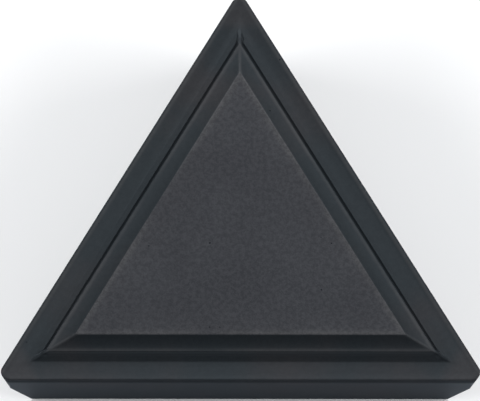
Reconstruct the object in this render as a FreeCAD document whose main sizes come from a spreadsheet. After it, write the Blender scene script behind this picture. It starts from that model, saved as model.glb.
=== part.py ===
import FreeCAD, Part
import Sketcher
import math
import os

# Triangular indexable turning insert: 60 degree corners, positive clearance, no hole,
# a pressed chip breaker on the rake face. All sizes are in millimetres.
# Frame: the origin is the middle of the seat face, +Z points to the rake face and +Y to one nose.
# An inset is a distance inwards from a sharp cutting edge, seen from above.

doc = FreeCAD.newDocument("TurningInsert")

driving_sizes = {
    "inscribed_circle": 12.7,
    "thickness": 4.76,            # seat face to cutting edge
    "clearance_angle": 11,        # lean of the flanks, in degrees
    "nose_radius": 0.4,           # at the cutting edge
    "hone_radius": 0.03,          # rounding of the cutting edge
    "land_width": 0.12,           # flat strip behind the cutting edge
    "groove_inset": 0.77,         # deepest line of the chip groove
    "groove_depth": 0.1,
    "riser_inset": 1.17,          # foot of the step that curls the chip
    "riser_depth": 0.02,
    "crest_inset": 1.32,          # top of that step
    "crest_height": 0.1,
    "cove_radius": 3.2,           # hollow between the crest and the clamping face
    "plateau_inset": 2.09,        # rim of the raised clamping face
    "plateau_height": 0.26,
    "rib_width": 0.16,            # rib from each crest corner towards the nose
    "rib_reach": 0.8,
    "ticn_thickness": 0.012,
    "alumina_thickness": 0.008,
}

sheet = doc.addObject("Spreadsheet::Sheet", "Sizes")
for row, (alias, value) in enumerate(driving_sizes.items(), start=1):
    sheet.set(f"A{row}", alias)
    sheet.set(f"B{row}", str(value))
    sheet.setAlias(f"B{row}", alias)
doc.recompute()

CORNERS = 3
nose_centre = "(Sizes.inscribed_circle - 2 * Sizes.nose_radius)"
outside = "-Sizes.inscribed_circle"


def side_at(inset):
    """Y of the side that faces -Y, at an inset, as an expression."""
    return f"-(Sizes.inscribed_circle / 2 - {inset})"


def corner_at(inset):
    """Distance from the axis to the sharp corner of the triangle at an inset, as an expression."""
    return f"(Sizes.inscribed_circle - 2 * {inset})"


def number(expression):
    """Present value of an expression."""
    return float(sheet.evalExpression(expression))


def origin_feature(body, role):
    return next(item for item in body.Origin.OriginFeatures if item.Role == role)


def attached_sketch(body, name, plane, across="0", up="0"):
    """Sketch on an origin plane, moved across along its own X or up its normal."""
    sketch = body.newObject("Sketcher::SketchObject", name)
    sketch.AttachmentSupport = (origin_feature(body, plane), [""])
    sketch.MapMode = "FlatFace"
    sketch.setExpression(".AttachmentOffset.Base.x", across)
    sketch.setExpression(".AttachmentOffset.Base.z", up)
    return sketch


def draw_outline(sketch, points, hollow=None):
    """Closed outline through points given as pairs of expressions.

    hollow is (index, radius): the stretch that leaves that point is an arc of this radius,
    curved as a hollow in the solid that is left.
    """
    corners = [FreeCAD.Vector(number(x), number(y), 0) for x, y in points]
    edges = []
    for index, start in enumerate(corners):
        end = corners[(index + 1) % len(corners)]
        if hollow and index == hollow[0]:
            radius = number(hollow[1])
            chord = end - start
            rise = math.sqrt(radius ** 2 - chord.Length ** 2 / 4)
            left = FreeCAD.Vector(-chord.y, chord.x, 0).normalize()
            circle = Part.Circle((start + end) / 2 + left * rise, FreeCAD.Vector(0, 0, 1), radius)
            arc = Part.ArcOfCircle(circle, circle.parameter(start), circle.parameter(end))
            edge = sketch.addGeometry(arc, False)
            constraint = sketch.addConstraint(Sketcher.Constraint("Radius", edge, radius))
            sketch.setExpression(f"Constraints[{constraint}]", hollow[1])
        else:
            edge = sketch.addGeometry(Part.LineSegment(start, end), False)
        edges.append(edge)
    for edge, follower in zip(edges, edges[1:] + edges[:1]):
        sketch.addConstraint(Sketcher.Constraint("Coincident", edge, 2, follower, 1))
    for edge, corner, (x, y) in zip(edges, corners, points):
        for kind, value, expression in (("DistanceX", corner.x, x), ("DistanceY", corner.y, y)):
            constraint = sketch.addConstraint(Sketcher.Constraint(kind, -1, 1, edge, 1, value))
            sketch.setExpression(f"Constraints[{constraint}]", expression)


def repeat_round_axis(body, feature, name):
    """The same feature at all three sides or noses."""
    pattern = body.newObject("PartDesign::PolarPattern", name)
    pattern.Originals = [feature]
    pattern.Axis = (origin_feature(body, "Z_Axis"), [""])
    pattern.Angle = 360
    pattern.Occurrences = CORNERS
    body.Tip = pattern
    doc.recompute()


def triangular_block(name, inset, low, high):
    """Body that begins as a sharp triangular prism between two levels, one corner on +Y."""
    body = doc.addObject("PartDesign::Body", name)
    sketch = attached_sketch(body, f"{name}_outline", "XY_Plane", up=low)
    reach = corner_at(inset)
    half_side = f"{reach} * sqrt(3) / 2"
    draw_outline(sketch, [("0", reach), (f"-{half_side}", f"-{reach} / 2"), (half_side, f"-{reach} / 2")])
    pad = body.newObject("PartDesign::Pad", f"{name}_pad")
    pad.Profile = sketch
    pad.setExpression("Length", f"{high} - {low}")
    doc.recompute()
    return body


def require_cut(body, volume_before):
    if not body.Shape.Volume < volume_before:
        raise RuntimeError(f"{body.Name}: a cut took nothing away")


def plane_sides(body, name, points, hollow=None):
    """Cut all three sides along a profile drawn for the side that faces -Y."""
    volume_before = body.Shape.Volume
    sketch = attached_sketch(body, f"{name}_profile", "YZ_Plane")
    draw_outline(sketch, points, hollow)
    pocket = body.newObject("PartDesign::Pocket", f"{name}_cut")
    pocket.Profile = sketch
    pocket.SideType = "Symmetric"
    pocket.setExpression("Length", "4 * Sizes.inscribed_circle")
    doc.recompute()
    repeat_round_axis(body, pocket, f"{name}_pattern")
    require_cut(body, volume_before)


def round_noses(body, name, radius, taper_depth, level):
    """Turn each sharp corner into a cone of this radius at the level, with its point below."""
    volume_before = body.Shape.Volume
    sketch = attached_sketch(body, f"{name}_profile", "YZ_Plane", across=nose_centre)
    apex = f"({level} - {taper_depth})"
    beyond = "4 * Sizes.nose_radius"
    draw_outline(sketch, [("0", apex), (beyond, apex), (beyond, level), (radius, level)])
    groove = body.newObject("PartDesign::Groove", f"{name}_cut")
    groove.Profile = sketch
    groove.ReferenceAxis = (sketch, ["V_Axis"])
    groove.Midplane = True
    groove.Angle = 360 / CORNERS
    doc.recompute()
    repeat_round_axis(body, groove, f"{name}_pattern")
    require_cut(body, volume_before)


def combine(body, other, kind):
    boolean = body.newObject("PartDesign::Boolean", f"{body.Name}_{other.Name}_{kind}")
    boolean.Type = kind
    boolean.setObjects([other])
    boolean.Refine = True
    body.Tip = boolean
    doc.recompute()


def blank_with_clearance(name, top, bottom, edge_inset):
    """Triangle whose flanks lean in towards the seat face and whose noses are cones."""
    body = triangular_block(name, edge_inset, bottom, top)
    seat_inset = f"({edge_inset} + ({top} - {bottom}) * tan(Sizes.clearance_angle))"
    plane_sides(body, f"{name}_flank", [
        (side_at(edge_inset), top),
        (outside, top),
        (outside, bottom),
        (side_at(seat_inset), bottom),
    ])
    radius = f"(Sizes.nose_radius - {edge_inset})"
    round_noses(body, f"{name}_nose", radius, f"{radius} / tan(Sizes.clearance_angle)", top)
    return body


def chip_groove(name, top):
    """The hollow that falls gently from the land to the deepest line of the groove."""
    floor = f"({top} - Sizes.groove_depth)"
    body = triangular_block(name, "Sizes.land_width", floor, top)
    plane_sides(body, f"{name}_fall", [
        (side_at("Sizes.land_width"), top),
        (outside, top),
        (outside, floor),
        (side_at("Sizes.groove_inset"), floor),
    ])
    radius = "(Sizes.nose_radius - Sizes.land_width)"
    slope = "(Sizes.groove_depth / (Sizes.groove_inset - Sizes.land_width))"
    round_noses(body, f"{name}_nose", radius, f"{radius} * {slope}", top)
    return body


def island(name, top, depth):
    """What stands in the groove: riser, crest, cove, raised clamping face, and a rib to each nose."""
    root = "(Sizes.thickness / 2)"
    floor = f"({top} - Sizes.groove_depth)"
    crest = f"({top} + Sizes.crest_height)"
    plateau = f"({top} + Sizes.plateau_height)"
    clear_above = f"({plateau} + 1)"
    body = triangular_block(name, "Sizes.groove_inset", root, plateau)
    plane_sides(body, f"{name}_breaker", [
        (side_at("Sizes.groove_inset"), floor),
        (side_at("Sizes.riser_inset"), f"({top} - Sizes.riser_depth)"),
        (side_at("Sizes.crest_inset"), crest),
        (side_at("Sizes.plateau_inset"), plateau),
        (side_at("Sizes.plateau_inset"), clear_above),
        (outside, clear_above),
        (outside, floor),
    ], hollow=(2, "Sizes.cove_radius"))
    rib_start = corner_at("(Sizes.crest_inset + Sizes.rib_width)")
    rib_fall = corner_at("Sizes.crest_inset")
    rib_end = f"({rib_fall} + Sizes.rib_reach)"
    sketch = attached_sketch(body, f"{name}_rib_profile", "YZ_Plane")
    draw_outline(sketch, [
        (rib_start, root),
        (rib_end, root),
        (rib_end, floor),
        (rib_fall, crest),
        (rib_start, crest),
    ])
    pad = body.newObject("PartDesign::Pad", f"{name}_rib")
    pad.Profile = sketch
    pad.SideType = "Symmetric"
    pad.setExpression("Length", f"Sizes.rib_width - 2 * {depth}")
    doc.recompute()
    repeat_round_axis(body, pad, f"{name}_rib_pattern")
    return body


def cutting_edges(body, top, edge_inset):
    """Names of the edges round the rake face: three straight ones and three nose arcs."""
    level = number(top)
    reaches = (-number(side_at(edge_inset)), number(nose_centre) + number(f"Sizes.nose_radius - {edge_inset}"))
    names = []
    for index, edge in enumerate(body.Shape.Edges, start=1):
        middle = edge.valueAt((edge.FirstParameter + edge.LastParameter) / 2)
        flat = max(abs(edge.BoundBox.ZMin - level), abs(edge.BoundBox.ZMax - level)) < 1e-4
        if flat and min(abs(math.hypot(middle.x, middle.y) - reach) for reach in reaches) < 1e-3:
            names.append(f"Edge{index}")
    return names


def insert_form(name, depth):
    """Whole insert whose surface lies this deep under the finished one, measured square to it."""
    top = f"(Sizes.thickness - {depth})"
    edge_inset = f"({depth} / cos(Sizes.clearance_angle) + {depth} * tan(Sizes.clearance_angle))"
    body = blank_with_clearance(name, top, depth, edge_inset)
    combine(body, chip_groove(f"{name}_groove", top), "Cut")
    combine(body, island(f"{name}_island", top, depth), "Fuse")
    pressed = body.Tip
    edges = cutting_edges(body, top, edge_inset)
    hone = body.newObject("PartDesign::Fillet", f"{name}_hone")
    hone.Base = (pressed, edges)
    hone.setExpression("Radius", f"Sizes.hone_radius - {depth}")
    body.Tip = hone
    doc.recompute()
    return body


def layer(name, outer, inner):
    """Closed skin between two forms."""
    skin = doc.addObject("Part::Cut", name)
    skin.Base = outer
    skin.Tool = inner
    return skin


finished_form = insert_form("finished_form", "0")
ticn_form = insert_form("ticn_form", "Sizes.alumina_thickness")
carbide_substrate = insert_form("carbide_substrate", "(Sizes.alumina_thickness + Sizes.ticn_thickness)")
ticn_underlayer = layer("ticn_underlayer", ticn_form, carbide_substrate)
alumina_top_coat = layer("alumina_top_coat", finished_form, ticn_form)
sub_parts = [carbide_substrate, ticn_underlayer, alumina_top_coat]
doc.recompute()

for item in doc.Objects:
    if "Invalid" in item.State or "Error" in item.State:
        raise RuntimeError(f"{item.Name} failed: {item.State}")

os.makedirs("parts", exist_ok=True)
for item in sub_parts:
    shape = item.Shape
    if shape.isNull() or not shape.isValid():
        raise RuntimeError(f"{item.Name} has no valid shape")
    print(item.Label, len(shape.Solids), "solid", round(shape.Volume, 4), "mm3")
    shape.exportStep(f"parts/{item.Label}.step")
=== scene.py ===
import bpy
import math
from mathutils import Matrix, Vector


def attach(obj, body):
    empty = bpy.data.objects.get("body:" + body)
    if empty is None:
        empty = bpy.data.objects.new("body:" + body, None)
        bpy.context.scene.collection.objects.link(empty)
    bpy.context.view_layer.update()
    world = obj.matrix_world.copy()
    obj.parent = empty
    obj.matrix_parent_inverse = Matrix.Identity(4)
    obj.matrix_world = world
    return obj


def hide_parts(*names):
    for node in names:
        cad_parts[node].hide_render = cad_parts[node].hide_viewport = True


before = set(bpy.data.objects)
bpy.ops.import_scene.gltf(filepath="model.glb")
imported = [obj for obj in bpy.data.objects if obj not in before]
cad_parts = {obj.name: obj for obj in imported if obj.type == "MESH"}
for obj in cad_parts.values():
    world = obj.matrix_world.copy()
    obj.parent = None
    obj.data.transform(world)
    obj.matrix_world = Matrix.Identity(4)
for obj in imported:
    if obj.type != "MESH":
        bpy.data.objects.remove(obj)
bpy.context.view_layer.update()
scene = bpy.context.scene
print("frame loaded")

mm = 0.001  # the insert is modelled in millimetres and brought to metres at the end
touching = 1e-4  # millimetres, for points that should be one
near = 1e-3  # for points on an edge or a face
nearLine = 1e-2  # for the lines of the chip breaker
nearNose = 0.03  # reach round a nose's centre
nearAxis = 1  # a face whose centre is this near the axis is the one being stepped in


def deselectAll():
    for thing in list(bpy.context.selected_objects):
        thing.select_set(False)


def makeActive(piece):
    deselectAll()
    piece.select_set(True)
    bpy.context.view_layer.objects.active = piece


def editMode(piece, kind="VERT"):
    makeActive(piece)
    bpy.ops.object.mode_set(mode="EDIT")
    bpy.ops.mesh.select_mode(type=kind)


def objectMode():
    bpy.ops.object.mode_set(mode="OBJECT")


def pickFaces(piece, test):
    # selects the faces whose centres pass the test
    editMode(piece, "FACE")
    bpy.ops.mesh.select_all(action="DESELECT")
    objectMode()
    for face in piece.data.polygons:
        face.select = test(face.center)
    bpy.ops.object.mode_set(mode="EDIT")


def pickVerts(piece, test):
    editMode(piece)
    bpy.ops.mesh.select_all(action="DESELECT")
    objectMode()
    for vert in piece.data.vertices:
        vert.select = test(vert.co)
    bpy.ops.object.mode_set(mode="EDIT")


def applyModifier(piece, kind, **settings):
    makeActive(piece)
    modifier = piece.modifiers.new(kind.title(), kind)
    for name, value in settings.items():
        setattr(modifier, name, value)
    bpy.ops.object.modifier_apply(modifier=modifier.name)


def joinInto(main, others):
    makeActive(main)
    for other in others:
        other.select_set(True)
    bpy.ops.object.join()


insert = {
    "circle": 12.7,  # across the inscribed circle, which is also how far out a sharp corner is
    "thickness": 4.76,
    "clearance": math.radians(11),
    "nose": 0.4,
    "noseSteps": 72,  # facets in a full turn of a nose
    "land": 0.12,
    "groove": (0.77, -0.10),  # inset and height over the cutting edge
    "riserFoot": (1.17, -0.02),
    "crest": (1.32, 0.10),
    "plateau": (2.09, 0.26),
    "coveRadius": 3.2,
    "coveSteps": 10,
}

sideTurns = (30, 150, 270)  # where the three sides face, in degrees

rounding = {  # bevel widths of the pressed form's lines
    "groove": 0.16,
    "riserFoot": 0.02,
    "crest": 0.035,
    "plateau": 0.05,
    "ridge": 0.05,  # the mitred corners between crest and plateau
    "seat": 0.02,
    "hone": 0.036,
}


def cornerReach(inset):
    return insert["circle"] - 2 * inset


def noseSpots(reach):
    turns = [math.radians(90 + 120 * k) for k in range(3)]
    return [Vector((reach * math.cos(turn), reach * math.sin(turn), 0)) for turn in turns]


def outlinePlate(name):
    # rake face outline: one nose arc, spun round to all three corners, closed by straight edges
    level = insert["thickness"]
    spot = noseSpots(cornerReach(insert["nose"]))[0]
    deselectAll()
    bpy.ops.mesh.primitive_circle_add(vertices=insert["noseSteps"], radius=insert["nose"],
                                      location=(spot.x, spot.y, level))
    plate = bpy.context.object
    plate.name = plate.data.name = name
    bpy.ops.object.transform_apply(location=True, rotation=False, scale=False)
    lowest = spot.y + insert["nose"] * math.sin(math.radians(30)) - touching
    pickVerts(plate, lambda at: at.y < lowest)
    bpy.ops.mesh.delete(type="VERT")
    bpy.ops.mesh.select_all(action="SELECT")
    bpy.ops.mesh.spin(steps=3, dupli=True, angle=2 * math.pi, center=(0, 0, level), axis=(0, 0, 1))
    bpy.ops.mesh.select_all(action="SELECT")
    bpy.ops.mesh.remove_doubles(threshold=touching)
    objectMode()
    edge = insert["circle"] / 2
    for turn in sideTurns:
        out = Vector((math.cos(math.radians(turn)), math.sin(math.radians(turn)), 0))
        pickVerts(plate, lambda at: abs(at.dot(out) - edge) < near)
        bpy.ops.mesh.edge_face_add()
        objectMode()
    editMode(plate)
    bpy.ops.mesh.select_all(action="SELECT")
    bpy.ops.mesh.edge_face_add()
    objectMode()
    return plate


def faceUp(plate, up):
    # the plate's one face looks up or down
    if (plate.data.polygons[0].normal.z > 0) != up:
        editMode(plate, "FACE")
        bpy.ops.mesh.select_all(action="SELECT")
        bpy.ops.mesh.flip_normals()
        objectMode()


def gatherNoses(piece, level):
    # each nose arc that has shrunk to nothing becomes one point
    for spot in noseSpots(cornerReach(insert["nose"])):
        pickVerts(piece, lambda at: abs(at.z - level) < touching
                  and (at.xy - spot.xy).length < nearNose)
        bpy.ops.mesh.merge(type="CENTER")
        objectMode()


def stepIn(width, rise):
    # the selected top face steps inwards and up or down
    bpy.ops.mesh.inset(thickness=width, depth=rise, use_even_offset=True)


def coveHeights():
    # points of the hollow between crest and plateau, as inset and height
    (u0, h0), (u1, h1) = insert["crest"], insert["plateau"]
    radius = insert["coveRadius"]
    chord = math.hypot(u1 - u0, h1 - h0)
    lean = math.atan2(h1 - h0, u1 - u0)
    half = math.asin(chord / 2 / radius)
    centre = (u0 - radius * math.sin(lean - half), h0 + radius * math.cos(lean - half))
    points = []
    for k in range(1, insert["coveSteps"] + 1):
        slope = lean - half + 2 * half * k / insert["coveSteps"]
        points.append((centre[0] + radius * math.sin(slope), centre[1] - radius * math.cos(slope)))
    return points


def pressBreaker(plate):
    # the upward face is stepped in along the chip breaker's section
    faceUp(plate, True)
    grooveInset, grooveHeight = insert["groove"]
    noseWidth = insert["nose"] - insert["land"]
    noseHeight = grooveHeight * noseWidth / (grooveInset - insert["land"])
    pickFaces(plate, lambda centre: True)
    stepIn(insert["land"], 0)
    stepIn(noseWidth, noseHeight)
    objectMode()
    gatherNoses(plate, insert["thickness"] + noseHeight)
    last = (insert["nose"], noseHeight)
    pickFaces(plate, lambda centre: centre.xy.length < nearAxis)
    for stop in (insert["groove"], insert["riserFoot"], insert["crest"], *coveHeights()):
        stepIn(stop[0] - last[0], stop[1] - last[1])
        last = stop
    objectMode()


def leanFlanks(plate):
    # the downward face is stepped in to the seat: conical noses first, then sharp corners
    faceUp(plate, False)
    coneDepth = insert["nose"] / math.tan(insert["clearance"])
    seatInset = insert["thickness"] * math.tan(insert["clearance"])
    pickFaces(plate, lambda centre: True)
    stepIn(insert["nose"], coneDepth)
    objectMode()
    gatherNoses(plate, insert["thickness"] - coneDepth)
    pickFaces(plate, lambda centre: centre.xy.length < nearAxis)
    stepIn(seatInset - insert["nose"], insert["thickness"] - coneDepth)
    objectMode()


def weld(piece):
    editMode(piece)
    bpy.ops.mesh.select_all(action="SELECT")
    bpy.ops.mesh.remove_doubles(threshold=touching)
    bpy.ops.mesh.dissolve_degenerate(threshold=1e-5)
    objectMode()


def insetOf(at):
    # distance inwards from the nearest sharp cutting edge
    outs = [math.radians(turn) for turn in sideTurns]
    return insert["circle"] / 2 - max(at.x * math.cos(out) + at.y * math.sin(out) for out in outs)


def roundEdges(piece):
    # each line of the form gets its own small rounding
    makeActive(piece)
    widest = max(rounding.values())
    weights = piece.data.attributes.new("bevel_weight_edge", "FLOAT", "EDGE")
    stations = {
        "groove": insert["groove"],
        "riserFoot": insert["riserFoot"],
        "crest": insert["crest"],
        "plateau": insert["plateau"],
    }
    for edge in piece.data.edges:
        start, end = (piece.data.vertices[k].co for k in edge.vertices)
        middle = (start + end) / 2
        height = middle.z - insert["thickness"]
        level = abs(start.z - end.z) < touching
        width = 0
        for name, (inset, station) in stations.items():
            onLine = abs(height - station) < touching and abs(insetOf(middle) - inset) < nearLine
            if level and onLine:
                width = rounding[name]
        onRim = max(abs(start.z - insert["thickness"]), abs(end.z - insert["thickness"])) < touching
        if onRim and isRim(start) and isRim(end) and (start - end).length > touching:
            width = rounding["hone"]
        if level and middle.z < touching:
            width = rounding["seat"]
        if not level and insetOf(middle) > insert["crest"][0]:
            width = rounding["ridge"]
        weights.data[edge.index].value = width / widest
    applyModifier(piece, "BEVEL", width=widest, limit_method="WEIGHT", segments=4, profile=0.5,
                  use_clamp_overlap=True, miter_outer="MITER_SHARP")


def isRim(at):
    # on the outline of the rake face: a straight edge or a nose arc
    if insetOf(at) < near:
        return True
    spots = noseSpots(cornerReach(insert["nose"]))
    return min(abs((at.xy - spot.xy).length - insert["nose"]) for spot in spots) < near


rib = {  # millimetres
    "topWidth": 0.15,
    "sideLean": math.radians(40),  # from vertical
    "start": -0.4,  # along the bisector, measured outwards from the crest corner
    "reach": 0.80,
    "root": 0.3,  # how far it is sunk under the groove
    "rounding": 0.02,
}


def makeRib(name):
    # a low tapered bar that runs from the crest corner towards the nose and sinks into the groove
    crestReach = cornerReach(insert["crest"][0])
    top = insert["thickness"] + insert["crest"][1]
    foot = insert["thickness"] + insert["groove"][1]
    low = foot - rib["root"]
    rootWidth = rib["topWidth"] + 2 * (top - low) * math.tan(rib["sideLean"])
    deselectAll()
    middle = crestReach + (rib["start"] + rib["reach"]) / 2
    bpy.ops.mesh.primitive_cube_add(size=1, location=(0, middle, (top + low) / 2))
    bar = bpy.context.object
    bar.name = bar.data.name = name
    bpy.ops.transform.resize(value=(rootWidth, rib["reach"] - rib["start"], top - low))
    bpy.ops.object.transform_apply(location=True, rotation=False, scale=True)
    editMode(bar)
    bpy.ops.mesh.select_all(action="SELECT")
    bpy.ops.mesh.bisect(plane_co=(0, crestReach, 0), plane_no=(0, 1, 0), threshold=1e-5)
    objectMode()
    pickVerts(bar, lambda at: at.z > top - near)
    bpy.ops.transform.resize(value=(rib["topWidth"] / rootWidth, 1, 1))
    objectMode()
    pickVerts(bar, lambda at: at.z > top - near and at.y > crestReach + near)
    bpy.ops.transform.translate(value=(0, 0, foot - top))
    objectMode()
    editMode(bar, "EDGE")
    bpy.ops.mesh.select_all(action="DESELECT")
    objectMode()
    for edge in bar.data.edges:
        start, end = (bar.data.vertices[k].co for k in edge.vertices)
        edge.select = min(start.z, end.z) > foot - near and abs(start.y - end.y) > near
    bpy.ops.object.mode_set(mode="EDIT")
    bpy.ops.mesh.bevel(offset=rib["rounding"], segments=3, affect="EDGES")
    objectMode()
    return bar


def addRibs(piece):
    for corner in range(3):
        bar = makeRib(f"rib_{corner}")
        makeActive(bar)
        turn = math.radians(120 * corner)
        bpy.ops.transform.rotate(value=turn, orient_axis="Z", center_override=(0, 0, 0))
        bpy.ops.object.transform_apply(location=True, rotation=True, scale=False)
        applyModifier(piece, "BOOLEAN", object=bar, operation="UNION", solver="EXACT")
        bpy.data.objects.remove(bar)


def toMetres(piece):
    makeActive(piece)
    bpy.ops.transform.resize(value=(mm, mm, mm), center_override=(0, 0, 0))
    bpy.ops.object.transform_apply(location=True, rotation=True, scale=True)


seam = {
    "tipReach": 0.06,  # millimetres round a cone's point
    "edgeReach": 0.2,  # millimetres under the cutting edge
    "skew": math.radians(1.5),
}


def onConeSeam(start, end):
    # a long edge from the hone down to a cone's point, on the side where a flat flank begins
    high, low = (start, end) if start.z > end.z else (end, start)
    tip = insert["thickness"] - insert["nose"] / math.tan(insert["clearance"])
    if abs(low.z - tip) > seam["tipReach"] or high.z < insert["thickness"] - seam["edgeReach"]:
        return False
    run = (high - low).xy.normalized()
    for spot in noseSpots(cornerReach(insert["nose"])):
        turns = [math.atan2(spot.y, spot.x) + side * math.radians(60) for side in (-1, 1)]
        squareness = max(run.dot(Vector((math.cos(turn), math.sin(turn)))) for turn in turns)
        if (low.xy - spot.xy).length < seam["tipReach"] and squareness > math.cos(seam["skew"]):
            return True
    return False


def markSeams(piece):
    # flanks stay flat in their shading right up to the conical noses
    editMode(piece, "EDGE")
    bpy.ops.mesh.select_all(action="DESELECT")
    objectMode()
    for edge in piece.data.edges:
        edge.select = onConeSeam(*(piece.data.vertices[k].co for k in edge.vertices))
    print("seams marked", sum(edge.select for edge in piece.data.edges))
    bpy.ops.object.mode_set(mode="EDIT")
    bpy.ops.mesh.mark_sharp()
    objectMode()


def smoothShade(piece):
    # the small roundings shade smoothly and the faces between them stay flat
    makeActive(piece)
    bpy.ops.object.shade_smooth_by_angle(angle=math.radians(28))
    applyModifier(piece, "WEIGHTED_NORMAL", mode="FACE_AREA", weight=50, keep_sharp=True)


layers = {  # how deep each one starts under the surface, and how thick it is; the carbide is solid
    "alumina_skin": {
        "depth": 0,
        "thickness": 0.008,
        "node": "alumina_top_coat",
        "slot": "dark_coating",
    },
    "carbonitride_skin": {
        "depth": 0.008,
        "thickness": 0.012,
        "node": "ticn_underlayer",
        "slot": "carbonitride_layer",
    },
    "carbide_body": {
        "depth": 0.020,
        "thickness": 0,
        "node": "carbide_substrate",
        "slot": "sintered_carbide",
    },
}


def makeForm(name):
    form = outlinePlate(name)
    pressBreaker(form)
    underside = outlinePlate("underside")
    leanFlanks(underside)
    joinInto(form, [underside])
    weld(form)
    roundEdges(form)
    addRibs(form)
    markSeams(form)
    return form


def makeLayer(form, name):
    # the whole form shrunk to where the layer starts, then given the layer's thickness inwards
    makeActive(form)
    bpy.ops.object.duplicate()
    layer = bpy.context.object
    layer.name = layer.data.name = name
    plan = layers[name]
    if plan["depth"]:
        editMode(layer)
        bpy.ops.mesh.select_all(action="SELECT")
        bpy.ops.transform.shrink_fatten(value=-plan["depth"], use_even_offset=True)
        objectMode()
    if plan["thickness"]:
        applyModifier(layer, "SOLIDIFY", thickness=plan["thickness"], offset=-1,
                      use_even_offset=True)
    toMetres(layer)
    smoothShade(layer)
    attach(layer, "root")
    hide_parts(plan["node"])


form = makeForm("form")
for name in layers:
    makeLayer(form, name)
bpy.data.objects.remove(form)
print("three layers made")


view = {
    "target": (-0.000014, 0, insert["thickness"] * mm),
    "distance": 0.35524,
    "tilt": math.radians(22.086),  # from straight above
    "turn": math.radians(1.508),
    "roll": math.radians(1.465),
    "aimAbove": 0.002143,  # the aim is a little up the frame from the target
    "lens": 593.3,
}


def addCamera():
    tilt, turn, roll = view["tilt"], view["turn"], view["roll"]
    target = Vector(view["target"])
    back = Vector((
        -math.sin(tilt) * math.sin(turn),
        -math.sin(tilt) * math.cos(turn),
        math.cos(tilt),
    ))
    right = Vector((math.cos(turn), -math.sin(turn), 0))
    up = back.cross(right)
    cameraUp = (up * math.cos(roll) - right * math.sin(roll)).normalized()
    stand = target + back * view["distance"]
    aim = target + cameraUp * view["aimAbove"]
    look = (stand - aim).normalized()
    side = cameraUp.cross(look).normalized()
    lift = look.cross(side)
    data = bpy.data.cameras.new("camera")
    data.lens = view["lens"]
    data.sensor_width = 36
    data.clip_start = 0.01
    data.clip_end = 10
    camera = bpy.data.objects.new("camera", data)
    scene.collection.objects.link(camera)
    frameAxes = Matrix((side, lift, look)).transposed()
    camera.matrix_world = Matrix.Translation(stand) @ frameAxes.to_4x4()
    scene.camera = camera


addCamera()
print("camera placed")


studio = {
    "floorWidth": 3.0,
    "floorColour": (0.90, 0.90, 0.90, 1),
    "floorRoughness": 0.9,
    "floorShine": 0.1,
    "worldColour": (0.88, 0.97, 1.10, 1),
    "worldStrength": 0.14,
    "level": {  # these face straight down
        "key": {"spot": (0.03, 0.285, 0.50), "size": (0.48, 0.40), "power": 0.64},
        "fill": {"spot": (0, -0.20, 0.52), "size": (0.70, 0.42), "power": 0.08},
    },
    "front": {"spot": (0, -0.45, 0.30), "size": (0.50, 0.25), "power": 0.27},
    "low": {"distance": 0.60, "elevation": math.radians(22), "size": (0.45, 0.25), "power": 3.2},
    "lowTurns": (0, 90, 180),  # degrees round from +X
}


def addFloor():
    deselectAll()
    bpy.ops.mesh.primitive_plane_add(size=studio["floorWidth"])
    floor = bpy.context.object
    floor.name = "floor"
    material = bpy.data.materials.new("paleFloor")
    material.use_nodes = True
    shader = material.node_tree.nodes["Principled BSDF"]
    shader.inputs["Base Color"].default_value = studio["floorColour"]
    shader.inputs["Roughness"].default_value = studio["floorRoughness"]
    shader.inputs["Specular IOR Level"].default_value = studio["floorShine"]
    floor.data.materials.append(material)


def addSoftbox(name, spot, turn, size, power):
    data = bpy.data.lights.new(name, "AREA")
    data.shape = "RECTANGLE"
    data.size, data.size_y = size
    data.energy = power
    lamp = bpy.data.objects.new(name, data)
    lamp.location = spot
    lamp.rotation_euler = turn
    scene.collection.objects.link(lamp)


def facingInsert(spot):
    return (-Vector(spot)).to_track_quat("-Z", "Y").to_euler()


def addStudio():
    addFloor()
    world = bpy.data.worlds.new("studio")
    scene.world = world
    world.use_nodes = True
    background = world.node_tree.nodes["Background"]
    background.inputs["Color"].default_value = studio["worldColour"]
    background.inputs["Strength"].default_value = studio["worldStrength"]
    for name, box in studio["level"].items():
        addSoftbox(name, box["spot"], (0, 0, 0), box["size"], box["power"])
    front, low = studio["front"], studio["low"]
    addSoftbox("front", front["spot"], facingInsert(front["spot"]), front["size"], front["power"])
    across = low["distance"] * math.cos(low["elevation"])
    up = low["distance"] * math.sin(low["elevation"])
    for degrees in studio["lowTurns"]:
        turn = math.radians(degrees)
        spot = (across * math.cos(turn), across * math.sin(turn), up)
        addSoftbox(f"low_{degrees}", spot, facingInsert(spot), low["size"], low["power"])
    scene.view_settings.view_transform = "Standard"


addStudio()
print("studio made")


def feed(tree, socket, value):
    # an output is linked, anything else is set
    if isinstance(value, bpy.types.NodeSocket):
        tree.links.new(value, socket)
    else:
        socket.default_value = value


def calc(tree, operation, *values):
    node = tree.nodes.new("ShaderNodeMath")
    node.operation = operation
    for socket, value in zip(node.inputs, values):
        feed(tree, socket, value)
    return node.outputs["Value"]


def times(tree, first, second):
    return calc(tree, "MULTIPLY", first, second)


def plus(tree, first, second):
    return calc(tree, "ADD", first, second)


def greater(tree, first, second):
    return calc(tree, "MAXIMUM", first, second)


def fade(tree, value, low, high):
    # 0 at low and 1 at high, smooth between; low may be the greater
    node = tree.nodes.new("ShaderNodeMapRange")
    node.interpolation_type = "SMOOTHSTEP"
    feed(tree, node.inputs["Value"], value)
    node.inputs["From Min"].default_value = low
    node.inputs["From Max"].default_value = high
    return node.outputs["Result"]


def band(tree, value, start, peak, end):
    # a soft line: 0 at start, 1 at peak, 0 at end
    return times(tree, fade(tree, value, start, peak), fade(tree, value, end, peak))


def blendColour(tree, amount, first, second):
    node = tree.nodes.new("ShaderNodeMix")
    node.data_type = "RGBA"
    for index, value in ((0, amount), (6, first), (7, second)):  # factor and the two colours
        feed(tree, node.inputs[index], value)
    return node.outputs[2]


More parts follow.
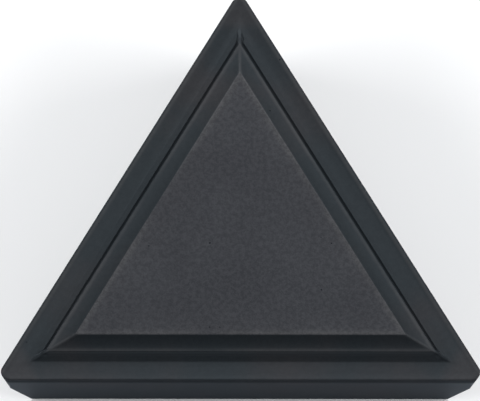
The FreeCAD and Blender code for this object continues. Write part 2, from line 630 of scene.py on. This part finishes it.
def noise(tree, spot, scale, detail, rough=0.5):
    node = tree.nodes.new("ShaderNodeTexNoise")
    feed(tree, node.inputs["Vector"], spot)
    feed(tree, node.inputs["Scale"], scale)
    node.inputs["Detail"].default_value = detail
    node.inputs["Roughness"].default_value = rough
    return node.outputs["Fac"]


def newGroup(name, inputs, outputs):
    group = bpy.data.node_groups.new(name, "ShaderNodeTree")
    for label, kind in inputs.items():
        group.interface.new_socket(name=label, in_out="INPUT", socket_type=kind)
    for label in outputs:
        group.interface.new_socket(name=label, in_out="OUTPUT", socket_type="NodeSocketFloat")
    given = group.nodes.new("NodeGroupInput").outputs
    out = group.nodes.new("NodeGroupOutput").inputs
    return group, given, out


def useGroup(tree, group, **values):
    node = tree.nodes.new("ShaderNodeGroup")
    node.node_tree = group
    for label, value in values.items():
        feed(tree, node.inputs[label], value)
    return node.outputs


zoneWidths = {  # millimetres; each pair is where a zone starts to fade in and where it is full
    "top": (-0.16, -0.12),  # height over the cutting edge
    "plateau": (-0.03, 0.01),  # past the rim of the raised flat
    "rim": (0.40, 0.02),
    "slope": (1.6, 0),
    "crest": (-0.02, 0.06, 0.22),  # start, peak and end, past the crest
    "cove": ((-0.02, 0.04), (0.1, 0)),  # past the crest, past the raised flat's rim
    "ridge": (0.12, 0.03),  # from the bisector
    "foot": (-0.03, 0.04, 0.01),  # the first two past the riser's foot, the last past the crest
    "land": (0.28, 0.13, 0.05),  # inset
    "rear": (0, 0.3),  # how much nearer a rear side is than the front one
    "nose": (10.5, 11.3),  # from the axis
    "browInset": (0.06, 0.025),  # inset less what the flank's lean takes
    "browTop": (-0.003, -0.02),  # heights over the cutting edge
    "browFoot": (-0.95, -0.40),
    "seat": (0.03, 0.01),
}


def sideDistances(group, spot):
    # how far a point lies towards each of the three sides
    distances = []
    for turn in map(math.radians, sideTurns):
        dot = group.nodes.new("ShaderNodeVectorMath")
        dot.operation = "DOT_PRODUCT"
        dot.inputs[1].default_value = (math.cos(turn), math.sin(turn), 0)
        group.links.new(spot, dot.inputs[0])
        distances.append(dot.outputs["Value"])
    return distances


def insetOnNose(group, inset, reach, mitre):
    # the inset, measured from the nose arc where the nearest edge is the arc
    past = calc(group, "SUBTRACT", reach, cornerReach(insert["nose"]))
    squares = plus(group, times(group, past, past), times(group, mitre, mitre))
    noseInset = calc(group, "SUBTRACT", insert["nose"], calc(group, "SQRT", squares))
    onNose = calc(group, "GREATER_THAN", past, calc(group, "DIVIDE", mitre, math.sqrt(3)))
    change = times(group, onNose, calc(group, "SUBTRACT", noseInset, inset))
    return plus(group, inset, change)


def pressedZones():
    # where a point of the surface is on the pressed form
    outputs = ["Plateau", "Rim", "Slope", "Crest", "Ridge", "Foot"]
    outputs += ["Land", "Nose", "Brow", "Side", "Seat"]
    group, given, out = newGroup("pressedZones", {"Vector": "NodeSocketVector"}, outputs)
    scaled = group.nodes.new("ShaderNodeVectorMath")
    scaled.operation = "SCALE"
    scaled.inputs["Scale"].default_value = 1 / mm
    group.links.new(given["Vector"], scaled.inputs[0])
    split = group.nodes.new("ShaderNodeSeparateXYZ")
    group.links.new(scaled.outputs["Vector"], split.inputs[0])
    height = calc(group, "SUBTRACT", split.outputs["Z"], insert["thickness"])
    first, second, front = sideDistances(group, scaled.outputs["Vector"])
    most = greater(group, greater(group, first, second), front)
    least = calc(group, "MINIMUM", calc(group, "MINIMUM", first, second), front)
    inset = calc(group, "SUBTRACT", insert["circle"] / 2, most)
    reach = times(group, least, -1)  # along the nearest bisector
    mitre = calc(group, "DIVIDE", plus(group, times(group, most, 2), least), math.sqrt(3))  # off it

    def within(value, name, start=0):
        low, high = zoneWidths[name]
        return fade(group, value, start + low, start + high)

    top = within(height, "top")
    crest, plateau = insert["crest"][0], insert["plateau"][0]
    onPlateau = times(group, top, within(inset, "plateau", plateau))
    feed(group, out["Plateau"], onPlateau)
    # Rim and Slope mark painted highlights: the raised flat is lighter towards its rim
    feed(group, out["Rim"], times(group, onPlateau, within(inset, "rim", plateau)))
    feed(group, out["Slope"], times(group, onPlateau, within(inset, "slope", plateau)))
    crestLine = band(group, inset, *(crest + width for width in zoneWidths["crest"]))
    feed(group, out["Crest"], times(group, top, crestLine))
    inner, outer = zoneWidths["cove"]
    pastCrest = fade(group, inset, crest + inner[0], crest + inner[1])
    beforePlateau = fade(group, inset, plateau + outer[0], plateau + outer[1])
    cove = times(group, pastCrest, beforePlateau)
    feed(group, out["Ridge"], times(group, cove, within(mitre, "ridge")))
    foot = insert["riserFoot"][0]
    start, peak, end = zoneWidths["foot"]
    footLine = band(group, inset, foot + start, foot + peak, crest + end)
    feed(group, out["Foot"], times(group, top, footLine))
    # painted highlight: the land is lightened on the two rear sides only, not on the front
    rear = within(calc(group, "SUBTRACT", most, front), "rear")
    land = times(group, rear, band(group, inset, *zoneWidths["land"]))
    feed(group, out["Land"], times(group, top, land))
    feed(group, out["Nose"], times(group, top, within(reach, "nose")))
    rimInset = insetOnNose(group, inset, reach, mitre)
    sunk = plus(group, rimInset, times(group, height, math.tan(insert["clearance"])))
    brow = times(group, within(sunk, "browInset"), within(height, "browTop"))
    feed(group, out["Brow"], times(group, brow, within(height, "browFoot")))
    feed(group, out["Side"], calc(group, "SUBTRACT", 1, top))
    feed(group, out["Seat"], within(split.outputs["Z"], "seat"))
    return group


grainMix = {
    "finer": 2.7,  # how much finer the second grain is
    "coarseShare": 0.6,
    "detail": 2,
    "roughness": 0.6,
    "hollows": (0.64, 0.36),
}


def pressedGrain():
    # the speckle of pressed and blasted grain: dark hollows between the grains, and their height
    inputs = {"Vector": "NodeSocketVector", "Scale": "NodeSocketFloat"}
    group, given, out = newGroup("pressedGrain", inputs, ["Hollows", "Height"])
    detail, rough, share = grainMix["detail"], grainMix["roughness"], grainMix["coarseShare"]
    coarse = noise(group, given["Vector"], given["Scale"], detail, rough)
    fineScale = times(group, given["Scale"], grainMix["finer"])
    fine = noise(group, given["Vector"], fineScale, detail, rough)
    both = plus(group, times(group, coarse, share), times(group, fine, 1 - share))
    feed(group, out["Hollows"], fade(group, both, *grainMix["hollows"]))
    feed(group, out["Height"], both)
    return group


pitSpread = {
    "edge": (0.13, 0.06),  # in cells
    "chosen": (0.93, 0.97),  # only the last few cells hold a pit
}


def scatteredPits():
    # a few tiny pits, picked at random from a loose scatter
    inputs = {"Vector": "NodeSocketVector", "Scale": "NodeSocketFloat"}
    group, given, out = newGroup("pits", inputs, ["Pits"])
    cells = group.nodes.new("ShaderNodeTexVoronoi")
    feed(group, cells.inputs["Vector"], given["Vector"])
    feed(group, cells.inputs["Scale"], given["Scale"])
    draw = group.nodes.new("ShaderNodeSeparateColor")
    group.links.new(cells.outputs["Color"], draw.inputs[0])
    pit = fade(group, cells.outputs["Distance"], *pitSpread["edge"])
    feed(group, out["Pits"], times(group, pit, fade(group, draw.outputs[0], *pitSpread["chosen"])))
    return group


grinding = {
    "stretch": 0.03,
    "detail": 3,
    "roughness": 0.6,
}


def grindingLines():
    # fine straight marks of a ground face, along X
    inputs = {"Vector": "NodeSocketVector", "Scale": "NodeSocketFloat"}
    group, given, out = newGroup("grindingLines", inputs, ["Lines"])
    stretch = group.nodes.new("ShaderNodeMapping")
    stretch.inputs["Scale"].default_value = (grinding["stretch"], 1, 1)
    group.links.new(given["Vector"], stretch.inputs["Vector"])
    spot = stretch.outputs["Vector"]
    marks = noise(group, spot, given["Scale"], grinding["detail"], grinding["roughness"])
    feed(group, out["Lines"], marks)
    return group


zones = pressedZones()
grain = pressedGrain()
pits = scatteredPits()
lines = grindingLines()

oxideCoat = {  # a dark thin-film coating: its reflectances, its painted highlights and shade, where each one lies, and its grain
    "cool": (0.0345, 0.0410, 0.0460, 1),  # smooth pressed bands
    "neutral": (0.0430, 0.0440, 0.0475, 1),  # their duller patches, and the noses
    "blasted": (0.0620, 0.0640, 0.0710, 1),  # clamping face
    "blastedDeep": (0.0540, 0.0555, 0.0620, 1),
    "highlightColour": (0.095, 0.095, 0.098, 1),  # painted highlight on the edges, the crest, the ridges and the lighter bands
    "dark": (0.014, 0.016, 0.019, 1),
    "glancing": (0.57, 0.595, 0.635, 1),  # how far its shine at a low angle is held back
    "patched": (0.44, 0.74),
    "facePatched": (0.66, 0.34),
    "dulled": {"Nose": 0.9},  # share of neutral
    "paintedHighlight": {"Rim": 0.70, "Crest": 0.4, "Ridge": 0.26},  # share of painted highlight, in patches
    "highlightPatched": (0.15, 0.60),
    "evenHighlight": {"Slope": 0.10, "Land": 0.42, "Nose": 0.09},  # painted highlight, the same all along
    "hollows": (0.16, 0.36),  # share of dark between grains: bands, clamping face
    "shaded": {"Foot": 0.5, "Brow": 0.7},
    "shine": (1, 0.22),  # metallic: surface, brow under the cutting edge
    "roughness": (0.36, 0.47),  # bands, clamping face
    "patchDulling": 0.3,
    "sideDulling": 0.14,
    "grainHeight": (0.3, 1.2),  # bands, clamping face
    "pitDepth": 1.5,
    "grainScale": 5000,
    "patchScale": 210,
    "patchDetail": 3,
    "pitScale": 2200,
    "lineScale": 9000,
    "relief": 0.0000022,
}

carbonitride = {
    "base": (0.17, 0.14, 0.15, 1),
    "deep": (0.10, 0.085, 0.10, 1),
    "metallic": 0.9,
    "grainScale": 9000,
    "relief": 0.0000010,
    "hollows": 0.7,
    "roughness": (0.30, 0.42),
}

carbide = {
    "base": (0.30, 0.30, 0.31, 1),
    "deep": (0.16, 0.16, 0.17, 1),
    "metallic": 1.0,
    "grainScale": 12000,
    "relief": 0.0000012,
    "hollows": 0.7,
    "roughness": (0.34, 0.50),
}


def startMaterial(name):
    material = bpy.data.materials.new(name)
    material.use_nodes = True
    tree = material.node_tree
    spot = tree.nodes.new("ShaderNodeTexCoord").outputs["Object"]
    return material, tree, tree.nodes["Principled BSDF"], spot


def between(tree, amount, span):
    node = tree.nodes.new("ShaderNodeMapRange")
    feed(tree, node.inputs["Value"], amount)
    node.inputs["To Min"].default_value, node.inputs["To Max"].default_value = span
    return node.outputs["Result"]


def relief(tree, height, distance):
    node = tree.nodes.new("ShaderNodeBump")
    node.inputs["Distance"].default_value = distance
    feed(tree, node.inputs["Height"], height)
    return node.outputs["Normal"]


def strongest(tree, amount, where, shares):
    # the amount, or the strongest of these zones where that is more
    for zone, share in shares.items():
        amount = greater(tree, amount, times(tree, where[zone], share))
    return amount


def oxideMaterial():
    material, tree, shader, spot = startMaterial("darkOxide")
    coat = oxideCoat
    shader.inputs["Specular IOR Level"].default_value = 0
    shader.inputs["Specular Tint"].default_value = coat["glancing"]
    where = useGroup(tree, zones, Vector=spot)
    grains = useGroup(tree, grain, Vector=spot, Scale=coat["grainScale"])
    holes = useGroup(tree, pits, Vector=spot, Scale=coat["pitScale"])["Pits"]
    marks = useGroup(tree, lines, Vector=spot, Scale=coat["lineScale"])["Lines"]
    patches = noise(tree, spot, coat["patchScale"], coat["patchDetail"])

    neutral = fade(tree, patches, *coat["patched"])
    neutral = strongest(tree, neutral, where, coat["dulled"])
    colour = blendColour(tree, neutral, coat["cool"], coat["neutral"])
    deep = fade(tree, patches, *coat["facePatched"])
    face = blendColour(tree, deep, coat["blasted"], coat["blastedDeep"])
    colour = blendColour(tree, where["Plateau"], colour, face)
    # painted highlights: in patches on the raised flat's rim, the crest and the ridges, evenly on
    # the slope, the rear lands and the noses
    paintedHighlight = strongest(tree, 0, where, coat["paintedHighlight"])
    paintedHighlight = times(tree, paintedHighlight, fade(tree, patches, *coat["highlightPatched"]))
    paintedHighlight = strongest(tree, paintedHighlight, where, coat["evenHighlight"])
    colour = blendColour(tree, paintedHighlight, colour, coat["highlightColour"])
    hollow = times(tree, grains["Hollows"], between(tree, where["Plateau"], coat["hollows"]))
    hollow = strongest(tree, hollow, where, coat["shaded"])
    colour = blendColour(tree, greater(tree, hollow, holes), colour, coat["dark"])
    feed(tree, shader.inputs["Base Color"], colour)

    feed(tree, shader.inputs["Metallic"], between(tree, where["Brow"], coat["shine"]))
    dull = plus(tree, where["Plateau"], times(tree, patches, coat["patchDulling"]))
    satin = between(tree, dull, coat["roughness"])
    rough = plus(tree, satin, times(tree, where["Side"], coat["sideDulling"]))
    feed(tree, shader.inputs["Roughness"], rough)

    depth = times(tree, grains["Height"], between(tree, where["Plateau"], coat["grainHeight"]))
    depth = calc(tree, "SUBTRACT", depth, times(tree, holes, coat["pitDepth"]))
    depth = plus(tree, depth, times(tree, marks, where["Seat"]))
    feed(tree, shader.inputs["Normal"], relief(tree, depth, coat["relief"]))
    return material


def layerMaterial(name, finish):
    # a hidden layer: fine metallic grain, duller and darker in its hollows
    material, tree, shader, spot = startMaterial(name)
    grains = useGroup(tree, grain, Vector=spot, Scale=finish["grainScale"])
    where = useGroup(tree, zones, Vector=spot)
    marks = useGroup(tree, lines, Vector=spot, Scale=oxideCoat["lineScale"])["Lines"]
    hollow = times(tree, grains["Hollows"], finish["hollows"])
    colour = blendColour(tree, hollow, finish["base"], finish["deep"])
    feed(tree, shader.inputs["Base Color"], colour)
    shader.inputs["Metallic"].default_value = finish["metallic"]
    feed(tree, shader.inputs["Roughness"], between(tree, grains["Hollows"], finish["roughness"]))
    depth = plus(tree, grains["Height"], times(tree, marks, where["Seat"]))
    feed(tree, shader.inputs["Normal"], relief(tree, depth, finish["relief"]))
    return material


def dress(name, material):
    piece = bpy.data.objects[name]
    piece.data.materials.clear()
    piece.data.materials.append(material)


dress("alumina_skin", oxideMaterial())
dress("carbonitride_skin", layerMaterial("carbonitrideLayer", carbonitride))
dress("carbide_body", layerMaterial("sinteredCarbide", carbide))
print("materials made")
